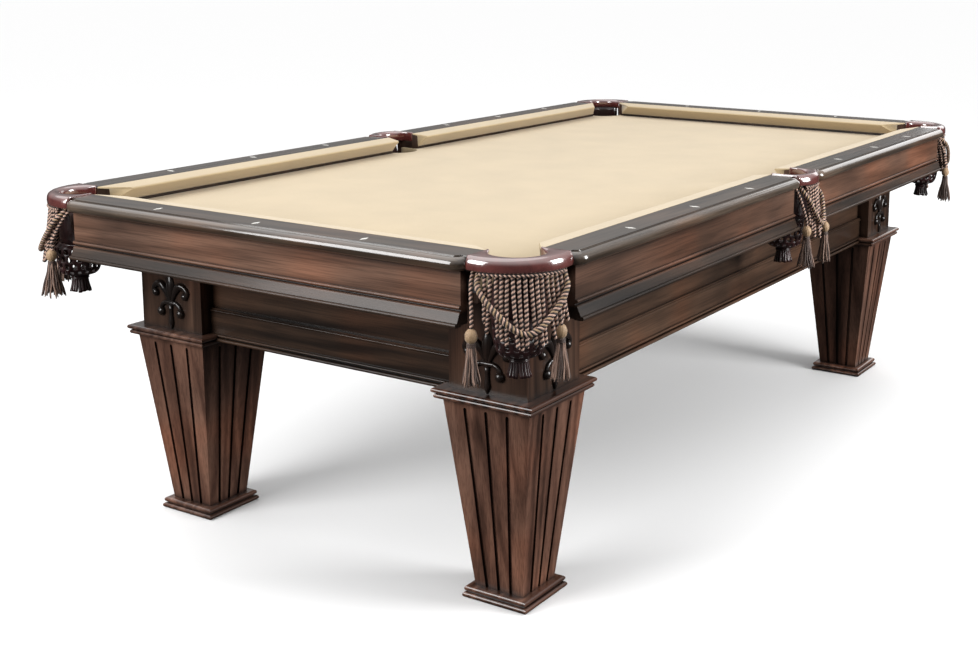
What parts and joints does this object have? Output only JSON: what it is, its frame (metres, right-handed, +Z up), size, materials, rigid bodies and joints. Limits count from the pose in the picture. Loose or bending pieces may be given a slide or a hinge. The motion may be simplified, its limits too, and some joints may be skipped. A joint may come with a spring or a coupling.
{
  "type": "billiards table",
  "caption": "Full-size billiards table with tapered square legs, slate bed under tan cloth, wooden rails with pearl sights, and drop pockets of leather with rope fringe and tassels.",
  "frame": {"origin": "on the floor, below the middle of the bed", "axes": "+X along the table from the near end to the far end, +Y from the right side to the left side, +Z up"},
  "size_m": [2.5336, 1.449, 0.783],
  "materials": {
    "walnut_leg": "satin",
    "walnut_cap": "satin",
    "walnut_apron": "satin",
    "carving": "satin",
    "poplar": "matte",
    "slate": "matte",
    "bed_cloth": "matte",
    "cushion": "matte",
    "leather": "gloss",
    "rope": "matte",
    "pearl": "gloss",
    "steel": "satin"
  },
  "bodies": {
    "table": {"leg_shaft_near_right": "walnut_leg", "leg_shaft_near_left": "walnut_leg", "leg_shaft_far_right": "walnut_leg", "leg_shaft_far_left": "walnut_leg", "leg_blocks": "walnut_leg", "leg_collars": "walnut_leg", "foot_plinths": "walnut_leg", "leg_ornaments": "carving", "apron_near": "walnut_apron", "apron_far": "walnut_apron", "apron_right": "walnut_apron", "apron_left": "walnut_apron", "frame_side_beams": "poplar", "frame_cross_beams": "poplar", "leg_bolts": "steel", "slate_near": "slate", "slate_middle": "slate", "slate_far": "slate", "slate_liners": "poplar", "bed_cloth": "bed_cloth", "rail_bodies": "poplar", "rail_bolts": "steel", "sights": "pearl", "rail_cap_near": "walnut_cap", "rail_cap_far": "walnut_cap", "rail_cap_right_near": "walnut_cap", "rail_cap_right_far": "walnut_cap", "rail_cap_left_near": "walnut_cap", "rail_cap_left_far": "walnut_cap", "rail_apron_near": "walnut_apron", "rail_apron_far": "walnut_apron", "rail_apron_right_near": "walnut_apron", "rail_apron_right_far": "walnut_apron", "rail_apron_left_near": "walnut_apron", "rail_apron_left_far": "walnut_apron", "cushion_near": "cushion", "cushion_far": "cushion", "cushion_right_near": "cushion", "cushion_right_far": "cushion", "cushion_left_near": "cushion", "cushion_left_far": "cushion", "collar_near_right": "leather", "collar_near_left": "leather", "collar_far_right": "leather", "collar_far_left": "leather", "collar_side_right": "leather", "collar_side_left": "leather", "bag_near_right": "leather", "bag_near_left": "leather", "bag_far_right": "leather", "bag_far_left": "leather", "bag_side_right": "leather", "bag_side_left": "leather", "pocket_fringes": "rope", "pocket_swags": "rope", "pocket_tassels": "rope"},
    "foot_screw_near_right": {"leveller_near_right": "steel"},
    "foot_screw_near_left": {"leveller_near_left": "steel"},
    "foot_screw_far_right": {"leveller_far_right": "steel"},
    "foot_screw_far_left": {"leveller_far_left": "steel"}
  },
  "joints": [
    {"name": "level_near_right", "type": "slide", "parent": "table", "child": "foot_screw_near_right", "axis": [0, 0, -1], "range_m": [0, 0.015]},
    {"name": "level_near_left", "type": "slide", "parent": "table", "child": "foot_screw_near_left", "axis": [0, 0, -1], "range_m": [0, 0.015]},
    {"name": "level_far_right", "type": "slide", "parent": "table", "child": "foot_screw_far_right", "axis": [0, 0, -1], "range_m": [0, 0.015]},
    {"name": "level_far_left", "type": "slide", "parent": "table", "child": "foot_screw_far_left", "axis": [0, 0, -1], "range_m": [0, 0.015]}
  ]
}
